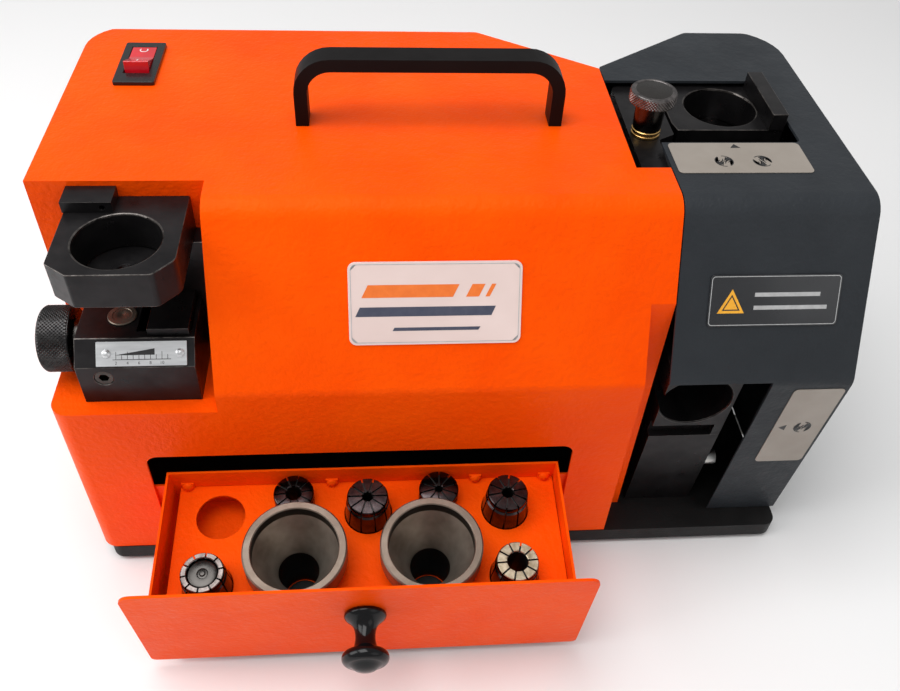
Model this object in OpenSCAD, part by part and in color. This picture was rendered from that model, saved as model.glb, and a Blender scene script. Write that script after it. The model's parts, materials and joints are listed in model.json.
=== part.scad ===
// Bench drill bit sharpener: sheet-metal housing over a motor, a hinged wheel cover with two
// grinding ports, a setting head in a corner notch and an accessory drawer.
// Lengths are in millimetres, angles in degrees.
// Parts are laid out from the housing's left side (x), front face (y) and the bench (z),
// then shifted so that the origin is the middle of the whole machine's footprint.

/* [Base] */
// Height of the rubber feet under the base plate
foot_h = 3; // [2:1:8]
// Thickness of the base plate
base_t = 10; // [8:1:12]

/* [Housing] */
// Overall width of the housing and the wheel cover
body_w = 390; // [388:1:396]
// Depth of the housing
body_d = 209.5; // [206:0.5:216]
// Height of the housing's top above the base plate
body_h = 203.4; // [202:0.2:206]
// Height of the upright part of the front above the base plate
front_h = 123; // [120:1:126]
// Depth taken by the sloping part of the front
slope_d = 40.6; // [38:0.2:44]
// Sheet thickness of the housing and the cover
sheet_t = 1.5; // [1.2:0.1:2]
// Width of the notch that holds the setting head
notch_w = 79; // [78:1:82]
// Depth of that notch
notch_d = 58.4; // [58:0.2:62]

/* [Drawer] */
// Angle that the drawer tips through as it is drawn out, at rest fully out
drawer_tip = 7; // [4:0.5:7]
// Width of the drawer front
drawer_front_w = 221; // [220:1:226]

/* [Motor and wheel] */
// Outside diameter of the motor shell
motor_d = 98; // [94:1:99]
// Diameter of the grinding wheel
wheel_d = 64; // [58:1:65]

/* [Ports] */
// Bore of each port that takes a drill chuck
port_bore_d = 37.5; // [37.4:0.1:38]
// Diameter of the chuck body that fits those ports
chuck_body_d = 37.3; // [36.8:0.1:37.3]
// Diameter of the chuck's rim
chuck_rim_d = 50.4; // [50:0.1:50.8]

/* [Carry handle] */
// Length of the handle over its legs
handle_w = 131.4; // [128:0.1:134]
// Height of the handle above the housing
handle_h = 35; // [34:0.5:42]

/* [Setting head] */
// Lead of the setting screw, in millimetres a turn
screw_lead = 1.25; // [1:0.25:2]

/* [Hidden] */
$fn = 48;
gap = 0.3;                                   // running gap between neighbours
run = 0.05;                                  // radial running clearance of a shaft
far = 400;                                   // longer than any part, for through cuts

base_top = foot_h + base_t;
z_bend = base_top + front_h;                 // bend between the upright and the sloping front
z_top = base_top + body_h;                   // outside of the housing's top
z_ledge = base_top + 111.7;                  // floor of the setting notch

// housing plan
seam_x = 279.5;                              // right edge of the housing behind the ports
lip_x = 296.3;                               // right edge of the housing in front of the ports
lip_y = 67.5;                                // depth at which that edge steps back
recess_x = 284.5;                            // left side of the upright recess beside the cover
recess_y = 18.7;
recess_z = base_top + 160;
corner_x = 209.2;                            // where the rear wall turns in towards the seam
seam_y = 163.6;

// wheel cover plan
cover_x = lip_x + 0.6;
cover_seam_x = seam_x + 0.6;
cover_seam_y = seam_y + 1.8;
cover_d = body_d + 1.5;
cover_corner_x = 343.6;
cover_foot = 12;                             // how far the cover's front leans back at its foot
port_x0 = cover_seam_x - 1;
port_x1 = 368;
port_y0 = 89.5;
port_y1 = 150.5;
strip_x = 349;                               // left edge of the cover's lower front strip

// hinge of the cover, beside the base plate
base_x0 = 4;
base_x1 = body_w - 2;
base_y0 = -0.5;
base_y1 = 206;
hinge_x = body_w + 2.8;
hinge_z = base_top - 0.5;
hinge_y = [70, 150];
hinge_barrel = 5;
hinge_pin_d = 2.6;
leaf_t = 1.2;

// carry handle
handle_cx = 183.3;
handle_y = 104;
handle_sec = [6.4, 12.8];                    // thickness and depth of its section

handle_leg_at = [for (s = [-1, 1])
    [handle_cx + s * (handle_w - handle_sec[0]) / 2, handle_y + handle_sec[1] / 2]];

// switch
sw_x = [22.7, 43.7];
sw_y = [142.5, 185.5];
rocker = [12.6, 26.4];
rocker_tilt = 11;
rocker_y = 167;

// drawer, in its closed place
slot_x = [38.5, 256];
slot_z = [base_top + 6, base_top + 78.6];
drawer_cx = (slot_x[0] + slot_x[1]) / 2;
drawer_pivot = [30, -505];                   // far axis of the drawer's rocking path (y, z)
drawer_front_z = [base_top + 1.3, base_top + 80.3];
drawer_front_t = 1.5;
tray_x = [46.5, 249.5];
tray_z0 = base_top + 8;
tray_top = base_top + 63;
tray_y1 = 72.8;
tray_t = 1.2;
deck_z = base_top + 49.5;
deck_x = [51.5, 247.9];
shelf_z = base_top + 33;
drawer_knob_z = base_top + 52.5;
chuck_xy = [[113.9, 25.1], [180, 25.1]];
chuck_rim_top = base_top + 69.8;
// collets: x, y and bore; the large ones stand in large holes
large_collets = [[70.8, 15.6, 15], [149, 53.4, 5.4], [220.4, 53.2, 6], [221.4, 15.4, 10.2]];
small_collets = [[111, 61, 8], [185.8, 61, 4]];
large_hole_d = 24.8;
small_hole_d = 20;
spare_hole = [73.6, 53.4];

// motor and wheel
axis_y = 130;
axis_z = base_top + 94;
motor_x = [118, 252];
bulkhead_x = [276, 278.8];
shaft_d = 15;
bolt_r = 25;                                 // circle of the bolts that hold the motor
wheel_x = 317;
wheel_t = 22;

// ports
port_top = base_top + 199.7;                 // top face of the upper port block
plate_top = base_top + 182;                  // top face of the casting's plate
plate_t = 8;
port_c = [338.8, 129.5];
feed_c = [292.6, 104.2];
front_port_c = [319, 98.3];                  // bore: x, and height up the leaning face
front_port_w = [301, 340];
front_port_y = 21;                           // foot of the leaning face
front_port_d = 42;
pedestal_h = 67.2;

// setting head
head_z = [base_top + 177.5, base_top + 195.5];
head_c = [45.1, 25.7];
low_z = base_top + 144.5;                    // top of the lower block
low_x = [16.2, 71];
low_y0 = 8.3;
bevel = 9.8;
back_y = notch_d - 0.4;
screw_y = 32;
screw_z = base_top + 131.5;
screw_d = 8;
jaw_x = [49.5, 68.5];
jaw_y = [19.3, 46.2];
pocket_y = 22.6;                             // front of the pocket that the jaw slides in
jaw_travel = 5.2;

gland_x = 40;
gland_z = base_top + 32;
gland_out = 16;

// middle of the whole machine's footprint
x_min = -2.4;
x_max = hinge_x + hinge_barrel / 2;
// drawer knob's outline: radius, distance out from the drawer front
knob_outline = concat(
    [[0, 0], [10, 0], [10.2, 1.6], [9.4, 2.8], [6.4, 5], [5, 8], [4.7, 12], [5.4, 15.5], [7.6, 18.2]],
    [for (a = [10:10:100]) [7.6 + 3.6 * sin(a), 18.2 + 3.4 * (1 - cos(a))]],
    [[10.4, 24], [8, 26.2], [4.6, 27.6], [0, 28]]);
y_min = min([for (p = knob_outline)
    tip_y(-drawer_front_t - gap - 0.05 - p[1], drawer_knob_z + p[0])]);
y_max = body_d + gland_out;
mid_x = (x_min + x_max) / 2;
mid_y = (y_min + y_max) / 2;

// ---- shapes ------------------------------------------------------------------

function unit(v) = v / norm(v);
function tip_y(y, z) = (y - drawer_pivot[0]) * cos(drawer_tip)
    - (z - drawer_pivot[1]) * sin(drawer_tip) + drawer_pivot[0];

// arc that replaces the corner b of the path a-b-c with radius r, in n steps
function corner(a, b, c, r, n) =
    let (u = unit([a[0] - b[0], a[1] - b[1]]), v = unit([c[0] - b[0], c[1] - b[1]]),
         half = acos(u * v) / 2, middle = [b[0], b[1]] + unit(u + v) * r / sin(half),
         p = [b[0], b[1]] + u * r / tan(half) - middle,
         turn = cross(u, v) > 0 ? -1 : 1, sweep = turn * (180 - 2 * half))
    [for (i = [0:n]) middle + [p[0] * cos(sweep * i / n) - p[1] * sin(sweep * i / n),
                               p[0] * sin(sweep * i / n) + p[1] * cos(sweep * i / n)]];

// closed outline of [x, y, radius] corners, with its corners rounded
function rounded(p, n = 8) =
    [for (i = [0:len(p) - 1])
        let (a = p[(i + len(p) - 1) % len(p)], b = p[i], c = p[(i + 1) % len(p)])
        for (q = b[2] > 0 ? corner(a, b, c, b[2], n) : [[b[0], b[1]]]) q];

// the same kind of outline, moved inwards by d all round (corners counter-clockwise)
function inset(p, d) =
    [for (i = [0:len(p) - 1])
        let (a = p[(i + len(p) - 1) % len(p)], b = p[i], c = p[(i + 1) % len(p)],
             e = unit([b[0] - a[0], b[1] - a[1]]), f = unit([c[0] - b[0], c[1] - b[1]]),
             m = [-e[1], e[0]], n = [-f[1], f[0]], q = [b[0], b[1]] + (m + n) * d / (1 + m * n))
        [q[0], q[1], b[2] > 0 ? max(b[2] - sign(cross(e, f)) * d, 0.2) : 0]];

// box from its lowest and highest x, y and z
module slab(x, y, z) {
    translate([x[0], y[0], z[0]]) cube([x[1] - x[0], y[1] - y[0], z[1] - z[0]]);
}
// outline in y and z, run along x
module along_x(x, p) {
    translate([x[0], 0, 0]) rotate([90, 0, 90]) linear_extrude(x[1] - x[0]) polygon(p);
}
// outline in x and z, run along y
module along_y(y, p) {
    translate([0, y[1], 0]) rotate([90, 0, 0]) linear_extrude(y[1] - y[0]) polygon(p);
}
// outline in x and y, run up z
module along_z(z, p) {
    translate([0, 0, z[0]]) linear_extrude(z[1] - z[0]) polygon(p);
}
module rod_x(d, x, y, z) {
    translate([x[0], y, z]) rotate([0, 90, 0]) cylinder(d = d, h = x[1] - x[0]);
}
module rod_y(d, x, y, z) {
    translate([x, y[1], z]) rotate([90, 0, 0]) cylinder(d = d, h = y[1] - y[0]);
}
module rod_z(d, x, y, z) {
    translate([x, y, z[0]]) cylinder(d = d, h = z[1] - z[0]);
}
// (radius, height) outline turned about the z axis
module turned(p) {
    rotate_extrude() polygon(p);
}
// round-cornered box outline
function box_outline(x, y, r) =
    rounded([[x[0], y[0], r], [x[1], y[0], r], [x[1], y[1], r], [x[0], y[1], r]]);

// moves everything so that the origin is the middle of the footprint
module placed() {
    translate([-mid_x, -mid_y, 0]) children();
}
// carries the drawer from its closed place to its open, tipped place
module drawn_out() {
    placed() translate([0, drawer_pivot[0], drawer_pivot[1]]) rotate([drawer_tip, 0, 0])
        translate([0, -drawer_pivot[0], -drawer_pivot[1]]) children();
}

// ---- base --------------------------------------------------------------------

foot_at = [[22, 20], [base_x1 - 20, 20], [22, base_y1 - 20], [base_x1 - 20, base_y1 - 20]];

module base_plate() placed() color("#1b1b1c") difference() {
    along_z([foot_h, base_top], box_outline([base_x0, base_x1], [base_y0, base_y1], 7));
    for (p = foot_at) rod_z(4.4, p[0], p[1], [0, far]);
    for (p = casting_screw_at) rod_z(6, p[0], p[1], [base_top - 5, far]);
}

module rubber_feet() placed() color("#121212") for (p = foot_at)
    translate([p[0], p[1], 0]) difference() {
        turned([[0, 0], [11, 0], [12, foot_h], [0, foot_h]]);
        translate([0, 0, -1]) cylinder(d = 4.4, h = far);
        translate([0, 0, -1]) cylinder(d = 8.6, h = 1 + 1.9);
    }

// one kind of screw: under the feet, up into the handle, and through the casting's foot
module cap_screw(head_d, head_h, shank_d, shank_h) {
    difference() {
        cylinder(d = head_d, h = head_h);
        translate([0, 0, -1]) cylinder(d = head_d * 0.55, h = 1 + head_h * 0.6, $fn = 6);
    }
    translate([0, 0, head_h - 0.1]) cylinder(d = shank_d, h = shank_h);
}
casting_screw_at = [[360, 72], [360, 100], [297, 145], [345, 145]];
port_screw = [[22, 51], 340.1];              // (y, z) and x of the screw beside the front port
module body_screws() placed() color("#a2a4a7") {
    for (p = foot_at) translate([p[0], p[1], 0.9]) cap_screw(8, 0.9, 4, base_top - 5);
    for (p = handle_leg_at) translate([p[0], p[1], z_top - sheet_t - 4])
        cap_screw(9, 3.8, 4, 13.5);
    for (p = casting_screw_at) translate([p[0], p[1], base_top + 13.05]) rotate([180, 0, 0])
        cap_screw(10, 5, 5.8, 10);
    translate([port_screw[1] + 6.4, port_screw[0][0], port_screw[0][1]]) rotate([0, -90, 0])
        cap_screw(8.6, 6.2, 4.8, 9);
}

// ---- housing -----------------------------------------------------------------

housing_profile = [[0, base_top, 0], [body_d, base_top, 0], [body_d, z_top, 5],
    [slope_d, z_top, 12], [0, z_bend, 10]];
housing_plan = [[0, 0, 9], [lip_x, 0, 0], [lip_x, lip_y, 0], [seam_x, lip_y, 0],
    [seam_x, seam_y, 0], [corner_x, body_d, 6], [0, body_d, 24]];
// the inside runs on past the open right-hand end
housing_core = [[0, 0, 9], [seam_x + 40, 0, 0],
    [seam_x + 40, seam_y - 40 * (body_d - seam_y) / (seam_x - corner_x), 0],
    [corner_x, body_d, 6], [0, body_d, 24]];
housing_core_profile = [[0, base_top - 20, 0], [body_d, base_top - 20, 0], [body_d, z_top, 5],
    [slope_d, z_top, 12], [0, z_bend, 10]];
notch_box = [[-20, notch_w], [-20, notch_d], [z_ledge, far]];
recess_box = [[recess_x, far], [-20, recess_y], [0, recess_z]];
vent_n = 9;
vent_pitch = 13;
tab_at = [[8, 60, 90], [8, 150, 90], [70, body_d - 8, 0], [170, body_d - 8, 0]];

module housing() placed() color("#ff5a08") {
    difference() {
        intersection() {
            along_x([0, lip_x], rounded(housing_profile));
            along_z([base_top, z_top + 1], rounded(housing_plan));
        }
        difference() {
            intersection() {
                along_x([-10, lip_x + 30], rounded(inset(housing_core_profile, sheet_t)));
                along_z([0, z_top + 1], rounded(inset(housing_core, sheet_t)));
            }
            slab(notch_box[0] + [0, sheet_t], notch_box[1] + [0, sheet_t],
                notch_box[2] - [sheet_t, 0]);
            slab(recess_box[0] - [sheet_t, 0], recess_box[1] + [0, sheet_t],
                recess_box[2] + [0, sheet_t]);
        }
        slab(notch_box[0], notch_box[1], notch_box[2]);
        slab(recess_box[0], recess_box[1], recess_box[2]);
        along_y([-5, sheet_t + 1], box_outline(slot_x, slot_z, 6));
        slab(sw_x + [2.8, -2.8], sw_y + [3.5, -3.5], [z_top - 10, z_top + 5]);
        for (p = handle_leg_at) rod_z(4.4, p[0], p[1], [z_top - 10, z_top + 5]);
        rod_y(16.2, gland_x, [body_d - 10, body_d + 5], gland_z);
        for (i = [0:vent_n - 1]) slab([80 + vent_pitch * i, 83 + vent_pitch * i],
            [body_d - 10, body_d + 5], [base_top + 40, base_top + 80]);
    }
    for (p = tab_at) translate([p[0], p[1], base_top]) rotate(p[2])
        translate([-7, -7, 0]) cube([14, 14, sheet_t]);
}

module bulkhead() placed() color("#2b2b2d") difference() {
    along_x(bulkhead_x, rounded(inset([[sheet_t, base_top, 0], [seam_y - 6, base_top, 0],
        [seam_y - 6, z_top - sheet_t, 3], [slope_d + 0.8, z_top - sheet_t, 12],
        [sheet_t, z_bend - 1, 10]], gap)));
    rod_x(30, [0, far], axis_y, axis_z);
    for (a = [45:90:359]) rod_x(5.4, [0, far], axis_y + bolt_r * cos(a), axis_z + bolt_r * sin(a));
}

module carry_handle() placed() color("#161617") {
    a = handle_sec[0];
    w = handle_w;
    h = handle_h;
    difference() {
        along_y([handle_y, handle_y + handle_sec[1]], rounded([
            [handle_cx - w / 2, z_top, 0], [handle_cx - w / 2 + a, z_top, 0],
            [handle_cx - w / 2 + a, z_top + h - a, 11.6], [handle_cx + w / 2 - a, z_top + h - a, 11.6],
            [handle_cx + w / 2 - a, z_top, 0], [handle_cx + w / 2, z_top, 0],
            [handle_cx + w / 2, z_top + h, 18], [handle_cx - w / 2, z_top + h, 18]]));
        for (p = handle_leg_at) rod_z(4.2, p[0], p[1], [z_top - 1, z_top + 14]);
    }
}

sw_cx = (sw_x[0] + sw_x[1]) / 2;
rocker_z = z_top - 1;
rocker_pivot = -3;                           // pivot below the middle of the rocker
rocker_axis_y = rocker_y + rocker_pivot * sin(rocker_tilt);
module switch_body() placed() color("#17171a") {
    difference() {
        union() {
            along_z([z_top + 0.05, z_top + 2.2], box_outline(sw_x, sw_y, 1.2));
            slab(sw_x + [3, -3], sw_y + [3.8, -3.8], [z_top - 26, z_top + 0.2]);
            for (y = [152, 164, 176])
                slab([sw_cx - 3.2, sw_cx + 3.2], [y - 0.4, y + 0.4], [z_top - 34, z_top - 25]);
        }
        slab([sw_cx - rocker[0] / 2 - gap, sw_cx + rocker[0] / 2 + gap],
            [rocker_axis_y - rocker[1] / 2 - 1.3, rocker_axis_y + rocker[1] / 2 + 1.3],
            [z_top - 12, z_top + 9]);
    }
    rod_x(2.4, [sw_cx - rocker[0] / 2 - 1, sw_cx + rocker[0] / 2 + 1],
        rocker_axis_y, rocker_z + rocker_pivot * cos(rocker_tilt));
}

module switch_rocker() placed() color("#d1121c")
    translate([sw_cx, rocker_y, rocker_z]) rotate([-rocker_tilt, 0, 0]) difference() {
        along_x([-rocker[0] / 2, rocker[0] / 2], rounded([[-rocker[1] / 2 + 0.6, -1.5, 0], [0, -7, 4],
            [rocker[1] / 2 - 0.6, -1.5, 0], [rocker[1] / 2 - 0.4, 5.6, 0.6], [0, 3.2, 12],
            [-rocker[1] / 2 + 0.4, 5.6, 0.6]]));
        rod_x(2.4 + 2 * run, [-far, far], 0, rocker_pivot);
    }

// flat plate glued on the sloping front: x and distance up the slope from the bend
slope_angle = atan2(z_top - z_bend, slope_d);
module on_slope() {
    placed() translate([0, 0, z_bend]) rotate([slope_angle, 0, 0]) children();
}

module name_plate() color("#efe0dc") on_slope()
    along_z([0.05, 0.7], box_outline([142.5, 222.5], [24, 63.5], 3.5));

module caution_plate() color("#101113") on_slope()
    along_z([0.05, 0.7], box_outline([311.8, 376], [30, 55.4], 2));

module top_port_label() placed() color("#b9b2a8")
    along_z([z_top + 0.05, z_top + 0.45], box_outline([299.3, 365.8], [62.5, 88.3], 2.5));

cover_front_angle = atan2(cover_foot, front_h);
module front_port_label() color("#a7a19a")
    placed() translate([0, 0, z_bend]) rotate([90 + cover_front_angle, 0, 0])
        along_z([0.05, 0.45], box_outline([361.6, 388.2], [-71, -5], 2.5));

module cord_gland() placed() color("#1c1c1e") difference() {
    union() {
        rod_y(16, gland_x, [body_d - 12, body_d + 2], gland_z);
        translate([gland_x, body_d + 4.05, gland_z]) rotate([90, 0, 0]) cylinder(d = 24, h = 4, $fn = 6);
        translate([gland_x, body_d - sheet_t - 0.05, gland_z]) rotate([90, 0, 0])
            cylinder(d = 24, h = 4, $fn = 6);
        translate([gland_x, body_d + 4, gland_z]) rotate([-90, 0, 0])
            turned([[0, 0], [9.5, 0], [9.5, 5], [6, gland_out - 4], [0, gland_out - 4]]);
    }
    rod_y(7, gland_x, [0, far], gland_z);
}

// ---- wheel cover -------------------------------------------------------------

cover_profile = [[cover_foot, base_top + 0.4, 0], [cover_d, base_top + 0.4, 0], [cover_d, z_top, 5],
    [slope_d, z_top, 12], [0, z_bend, 10]];
cover_core_profile = [[cover_foot + 1, base_top - 20, 0], [cover_d, base_top - 20, 0], [cover_d, z_top, 5],
    [slope_d, z_top, 12], [0, z_bend, 10]];
cover_slope = (cover_d - cover_seam_y) / (cover_corner_x - cover_seam_x);
cover_plan = [[cover_x, -1, 0], [body_w, -1, 0], [body_w, cover_d, 30], [cover_corner_x, cover_d, 8],
    [cover_seam_x, cover_seam_y, 0], [cover_seam_x, port_y1, 0], [cover_x, port_y1, 0]];
cover_core = [[cover_seam_x - 40, -60, 0], [body_w, -60, 0], [body_w, cover_d, 30],
    [cover_corner_x, cover_d, 8], [cover_seam_x - 40, cover_seam_y - 40 * cover_slope, 0]];

module wheel_cover() placed() color("#3a3c40") difference() {
    intersection() {
        along_x([cover_seam_x, body_w], rounded(cover_profile));
        along_z([base_top, z_top + 1], rounded(cover_plan));
    }
    intersection() {
        along_x([cover_seam_x - 20, body_w + 5], rounded(inset(cover_core_profile, sheet_t)));
        along_z([0, z_top + 1], rounded(inset(cover_core, sheet_t)));
    }
    along_z([z_top - 20, z_top + 5], box_outline([port_x0 - 40, port_x1], [port_y0, port_y1], 3));
    slab([cover_x - 5, strip_x], [-5, 30], [0, z_bend]);
}

hinge_knuckle = (hinge_y[1] - hinge_y[0]) / 5;
module knuckles(odd) {
    for (i = [odd ? 1 : 0:2:4]) rod_y(hinge_barrel, hinge_x,
        [hinge_y[0] + i * hinge_knuckle + 0.15, hinge_y[0] + (i + 1) * hinge_knuckle - 0.15], hinge_z);
}
module pin_hole() {
    rod_y(hinge_pin_d + 2 * run, hinge_x, [0, far], hinge_z);
}

module hinge_base_leaf() placed() color("#8f9196") difference() {
    union() {
        knuckles(false);
        slab([base_x1 + 0.05, base_x1 + leaf_t], hinge_y, [foot_h + 0.5, hinge_z - 2]);
        for (i = [0:2:4]) slab([base_x1 + 0.05, hinge_x],
            [hinge_y[0] + i * hinge_knuckle + 0.15, hinge_y[0] + (i + 1) * hinge_knuckle - 0.15],
            [hinge_z - hinge_barrel / 2, hinge_z - hinge_barrel / 2 + leaf_t]);
    }
    pin_hole();
}

module hinge_cover_leaf() placed() color("#8f9196") difference() {
    union() {
        knuckles(true);
        slab([body_w + 0.05, body_w + leaf_t], hinge_y, [hinge_z + 4, hinge_z + 22]);
        for (i = [1:2:4]) slab([body_w + 0.05, body_w + leaf_t],
            [hinge_y[0] + i * hinge_knuckle + 0.15, hinge_y[0] + (i + 1) * hinge_knuckle - 0.15],
            [hinge_z + 1, hinge_z + 4.2]);
    }
    pin_hole();
}

module hinge_pin() placed() color("#b5b7ba")
    rod_y(hinge_pin_d, hinge_x, hinge_y + [-1, 1], hinge_z);

// ---- ports and grinding wheel ------------------------------------------------

web_x = [283, 290];
casting_y = [62, 153.2];
pad_z = plate_top + 12;                      // top of the raised pad under the feed plate
feed_z = plate_top + 17.5;                   // top of the feed plate

// point of the front port's leaning frame: distance in from its face, and up the face
function lean_pt(y, z) = [front_port_y + y * cos(cover_front_angle) - z * sin(cover_front_angle),
    base_top + y * sin(cover_front_angle) + z * cos(cover_front_angle)];
module leaned() {
    placed() translate([0, front_port_y, base_top]) rotate([cover_front_angle, 0, 0]) children();
}

module port_casting() placed() color("#1e1e20") difference() {
    union() {
        along_z([plate_top - plate_t, plate_top], box_outline([web_x[0], 368], casting_y, 4));
        along_z([plate_top - 1, pad_z], box_outline([285.5, 306], [75, 150], 3));
        slab(web_x, casting_y, [base_top + 0.05, plate_top - plate_t + 1]);
        slab([web_x[0], 366], casting_y, [base_top + 0.05, base_top + 8]);
        slab([357, 366], [112, casting_y[1]], [base_top + 0.05, plate_top - plate_t + 1]);
        along_x(front_port_w, [[front_port_y, base_top + 0.05], [66, base_top + 0.05],
            lean_pt(front_port_d, pedestal_h), lean_pt(0, pedestal_h)]);
    }
    rod_z(port_bore_d + 2, port_c[0], port_c[1], [plate_top - 20, far]);
    rod_x(44, [270, 300], axis_y, axis_z);
    rod_z(8 + 2 * run, feed_c[0], feed_c[1], [plate_top - plate_t - 5, far]);
    for (p = casting_screw_at) rod_z(6, p[0], p[1], [base_top - 1, base_top + 12]);
    rod_x(5, [port_screw[1] - 9, far], port_screw[0][0], port_screw[0][1]);
}

module feed_plate() placed() color("#262628") difference() {
    along_z([pad_z + 0.05, feed_z], rounded([[284.2, 64, 1], [297, 64, 1], [298.7, 98, 3], [307.4, 103, 1],
        [307.4, 151.5, 1], [284.2, 151.5, 4]]));
    rod_z(8 + 2 * run, feed_c[0], feed_c[1], [0, far]);
}

// a bore with a small chamfer at its mouth
module port_bore(depth) {
    translate([0, 0, -depth]) cylinder(d = port_bore_d, h = depth + 1);
    translate([0, 0, -bore_chamfer])
        cylinder(d1 = port_bore_d, d2 = port_bore_d + 4 * bore_chamfer, h = 2 * bore_chamfer);
}
bore_chamfer = 0.6;

module top_port_block() placed() color("#232325") difference() {
    along_z([plate_top + 0.05, port_top], rounded([[310.4, 106.8, 0.6], [366.4, 106.8, 1],
        [366.4, 153.2, 1], [308.8, 153.2, 1], [308.8, 114, 0]]));
    translate([port_c[0], port_c[1], port_top]) port_bore(30);
}

module top_port_rail() placed() color("#232325")
    slab([357.8, 366], [106, 150.2], [port_top + 0.05, port_top + 9.4]);

module front_port_block() color("#232325") leaned() difference() {
    union() {
        slab(front_port_w, [0, front_port_d], [pedestal_h + 9.6, 122]);
        slab(front_port_w, [4, front_port_d], [pedestal_h + 0.05, pedestal_h + 10]);
        slab([front_port_w[1] - 5, front_port_w[1]], [0, 5], [pedestal_h + 0.05, pedestal_h + 10]);
    }
    translate([front_port_c[0], 0, front_port_c[1]]) rotate([90, 0, 0]) port_bore(60);
}

feed_top = base_top + 224.2;
feed_neck = feed_z + 3.9;
module feed_knob() placed() color("#2a2a2c") translate([feed_c[0], feed_c[1], 0]) turned([
    [0, plate_top - 4], [4, plate_top - 4], [4, feed_neck], [7.1, feed_neck], [7.5, feed_top - 6.6],
    [11, feed_top - 6.6], [11.7, feed_top - 5.9], [11.7, feed_top - 1], [11, feed_top - 0.4], [4, feed_top],
    [0, feed_top]]);

module brass_ring() placed() color("#b58a3a") translate([feed_c[0], feed_c[1], feed_z]) turned([
    [4.5, 0.05], [7.3, 0.05], [7.3, 1.5], [6.8, 1.8], [7.3, 2.1], [7.3, 3.6], [7, 3.85], [4.5, 3.85]]);

// steel wheel body, its outside coned towards the open end
module grinding_wheel() placed() color("#9fa2a6") translate([wheel_x, axis_y, axis_z]) rotate([0, 90, 0])
    difference() {
        turned([[0, 0], [14, 0], [14, 5], [wheel_d / 2 - 4, 5], [wheel_d / 2 - 4, wheel_t - 2],
            [wheel_d / 2 - 8, wheel_t - 2], [wheel_d / 2 - 8, 10], [14, 10], [14, wheel_t], [0, wheel_t]]);
        translate([0, 0, -1]) cylinder(d = 12 + 2 * run, h = far);
    }

module abrasive_rim() placed() color("#6f675a") translate([wheel_x, axis_y, axis_z]) rotate([0, 90, 0])
    turned([[wheel_d / 2 - 3.95, 5], [wheel_d / 2 - 2, 5], [wheel_d / 2, 8], [wheel_d / 2, wheel_t - 3],
        [wheel_d / 2 - 3.95, wheel_t]]);

module wheel_nut() placed() color("#b9bbbe") {
    difference() {
        union() {
            rod_x(22, [wheel_x + wheel_t + 0.05, wheel_x + wheel_t + 2.5], axis_y, axis_z);
            translate([wheel_x + wheel_t + 2.4, axis_y, axis_z]) rotate([0, 90, 0])
                cylinder(d = 19, h = 8, $fn = 6);
        }
        rod_x(12 + 2 * run, [0, far], axis_y, axis_z);
    }
}

// ---- motor -------------------------------------------------------------------

module tube_x(outer, inner, x) {
    difference() {
        rod_x(outer, x, axis_y, axis_z);
        rod_x(inner, x + [-1, 1], axis_y, axis_z);
    }
}

module motor_shell() placed() color("#77797c") tube_x(motor_d, motor_d - 4, motor_x);

module stator_core() placed() color("#8b8d90") tube_x(motor_d - 4.2, 56, motor_x + [32, -32]);

module stator_windings() placed() color("#a5622a") for (x = [motor_x[0] + 14, motor_x[1] - 31.8])
    tube_x(86, 60, [x, x + 17.8]);

module end_bell(x, ends, seat) {
    difference() {
        translate([x[0], axis_y, axis_z]) rotate([0, 90, 0])
            cylinder(d1 = ends[0], d2 = ends[1], h = x[1] - x[0]);
        rod_x(shaft_d + 3, [0, far], axis_y, axis_z);
        rod_x(35 + 2 * run, seat, axis_y, axis_z);
    }
}

module fan_end_bell() placed() color("#8e9093") end_bell([motor_x[0] - 13, motor_x[0] - 0.05],
    [motor_d - 14, motor_d], [motor_x[0] - 11, motor_x[0] + 5]);

module drive_end_bell() placed() color("#8e9093") difference() {
    end_bell([motor_x[1] + 0.05, bulkhead_x[0] - 0.05], [motor_d - 2, motor_d - 38],
        [motor_x[1] - 5, motor_x[1] + 12]);
    for (a = [45:90:359]) rod_x(5, [bulkhead_x[0] - 9, far],
        axis_y + bolt_r * cos(a), axis_z + bolt_r * sin(a));
}

module motor_bearings() placed() color("#b4b6b9") for (x = [motor_x[0] - 11, motor_x[1] + 1])
    tube_x(35, shaft_d + 2 * run, [x, x + 10.9]);

module motor_shaft() placed() color("#a9abae") {
    rod_x(shaft_d, [motor_x[0] - 34, wheel_x - 5], axis_y, axis_z);
    rod_x(24, [wheel_x - 5.2, wheel_x - 0.1], axis_y, axis_z);
    rod_x(12, [wheel_x - 0.2, wheel_x + wheel_t + 13], axis_y, axis_z);
}

module rotor_core() placed() color("#7d7f82") tube_x(55, shaft_d + 0.02, motor_x + [33, -33]);

module cooling_fan() placed() color("#2c2f33") {
    tube_x(30, shaft_d + 0.02, [motor_x[0] - 32, motor_x[0] - 18]);
    translate([motor_x[0] - 32, axis_y, axis_z]) rotate([0, 90, 0]) {
        difference() {
            cylinder(d = 84, h = 2);
            translate([0, 0, -1]) cylinder(d = 29, h = far);
        }
        for (a = [0:45:359]) rotate(a) translate([14.5, -0.9, 1.5]) cube([26, 1.8, 12]);
    }
}

module motor_cradle() placed() color("#2b2b2d") difference() {
    slab([158, 212], [95, 165], [base_top + 0.05, axis_z - 22]);
    rod_x(motor_d + 0.1, [0, far], axis_y, axis_z);
    slab([150, 220], [108, 152], [base_top - 5, base_top + 26]);
}

// ---- setting head ------------------------------------------------------------

module setting_head() placed() color("#222224") difference() {
    along_z(head_z, rounded([[28.4, 2.7, 2.5], [63.2, 2.7, 4], [71.8, 12.5, 6], [71.8, back_y, 1],
        [18.2, back_y, 1], [18.2, 10.5, 2]]));
    translate([head_c[0], head_c[1], head_z[1]]) port_bore(30);
}

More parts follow.
